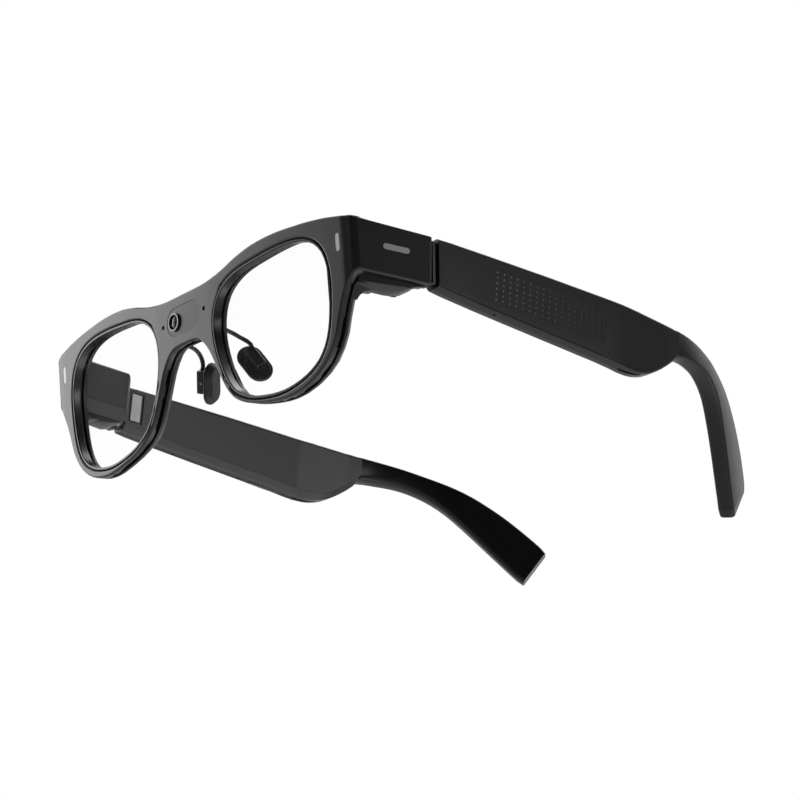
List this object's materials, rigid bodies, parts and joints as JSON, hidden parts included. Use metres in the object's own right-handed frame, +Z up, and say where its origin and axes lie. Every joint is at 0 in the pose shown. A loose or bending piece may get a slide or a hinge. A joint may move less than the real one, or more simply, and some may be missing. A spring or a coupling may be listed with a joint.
{
  "type": "smart glasses",
  "caption": "Black smart glasses: full-rim front with clear lenses, bridge camera, wired nose pads, and thick folding temples with touch dimples, speakers and a button.",
  "frame": {"origin": "middle of the footprint of the whole pair with the temples open, on the surface that the rims and temple tips rest on", "axes": "+X to the wearer's left, +Y backwards from the front to the temple tips, +Z up"},
  "size_m": [0.1508, 0.1564, 0.0431],
  "materials": {
    "front_skin": "fine satin, lit edges",
    "seam": "dull black",
    "rear_skin": "satin",
    "ring_gloss": "polished",
    "lens_clear": "clear, coated",
    "window_gloss": "polished, smoky",
    "camera_black": "polished",
    "camera_glass": "coated",
    "sensor_glass": "smoky",
    "barrel": "dull black",
    "mic_metal": "plain",
    "board_green": "solder resist",
    "silver": "satin",
    "engine": "dull",
    "steel": "machined",
    "hinge_black": "black oxide",
    "arm_black": "black, slight shine",
    "pad_clip": "dull black",
    "pad_soft": "soft matt",
    "temple_skin": "satin",
    "battery_foil": "wrapped foil",
    "speaker_case": "black",
    "grille": "black mesh",
    "tip_skin": "satin",
    "label": "printed film",
    "button_grey": "satin"
  },
  "bodies": {
    "front": {"front_shell": "front_skin", "rim_core": "seam", "rear_frame": "rear_skin", "bezel_l": "ring_gloss", "bezel_r": "ring_gloss", "lens_l": "lens_clear", "lens_r": "lens_clear", "camera_window": "window_gloss", "camera_ring": "camera_black", "camera_lens": "camera_glass", "camera_barrel": "barrel", "sensor_lens": "sensor_glass", "bridge_mics": "mic_metal", "bridge_board": "board_green", "corner_inlays": "silver", "end_mark": "silver", "engine_cover_l": "rear_skin", "engine_cover_r": "rear_skin", "light_engine_l": "engine", "light_engine_r": "engine", "hinge_screws": "steel", "hinge_front_l": "hinge_black", "hinge_front_r": "hinge_black", "hinge_pin_l": "steel", "hinge_pin_r": "steel", "nose_arm_l": "arm_black", "nose_arm_r": "arm_black", "pad_pin_l": "steel", "pad_pin_r": "steel"},
    "temple_left": {"temple_outer_l": "temple_skin", "temple_inner_l": "temple_skin", "hinge_rear_l": "hinge_black", "battery_l": "battery_foil", "board_l": "board_green", "speaker_l": "speaker_case", "speaker_grille_l": "grille", "temple_mics_l": "mic_metal", "temple_tip_l": "tip_skin", "tip_cap_l": "tip_skin", "core_wire_l": "steel", "touch_pad": "temple_skin"},
    "temple_right": {"temple_outer_r": "temple_skin", "temple_inner_r": "temple_skin", "hinge_rear_r": "hinge_black", "battery_r": "battery_foil", "board_r": "board_green", "speaker_r": "speaker_case", "speaker_grille_r": "grille", "temple_mics_r": "mic_metal", "temple_tip_r": "tip_skin", "tip_cap_r": "tip_skin", "core_wire_r": "steel", "label_plate": "label", "button_switch": "mic_metal"},
    "pad_left": {"pad_core_l": "pad_clip", "nose_pad_l": "pad_soft"},
    "pad_right": {"pad_core_r": "pad_clip", "nose_pad_r": "pad_soft"},
    "button": {"button": "button_grey"}
  },
  "joints": [
    {"name": "fold_left", "type": "hinge", "parent": "front", "child": "temple_left", "pos_m": [0.0696, -0.05325, 0.03048], "axis": [0, 0.0341, 0.9994], "range_deg": [0, 80]},
    {"name": "fold_right", "type": "hinge", "parent": "front", "child": "temple_right", "pos_m": [-0.0696, -0.05325, 0.03048], "axis": [0, -0.0341, -0.9994], "range_deg": [0, 65]},
    {"name": "pad_left_tilt", "type": "hinge", "parent": "front", "child": "pad_left", "pos_m": [0.01224, -0.06222, 0.02066], "axis": [0.313, 0.7563, 0.5744], "range_deg": [-8, 8]},
    {"name": "pad_right_tilt", "type": "hinge", "parent": "front", "child": "pad_right", "pos_m": [-0.01224, -0.06222, 0.02066], "axis": [-0.313, 0.7563, 0.5744], "range_deg": [-8, 8]},
    {"name": "button_press", "type": "slide", "parent": "temple_right", "child": "button", "axis": [0, 0.0839, 0.9965], "range_m": [0, 0.0004], "stiffness_N_per_m": 1500}
  ]
}
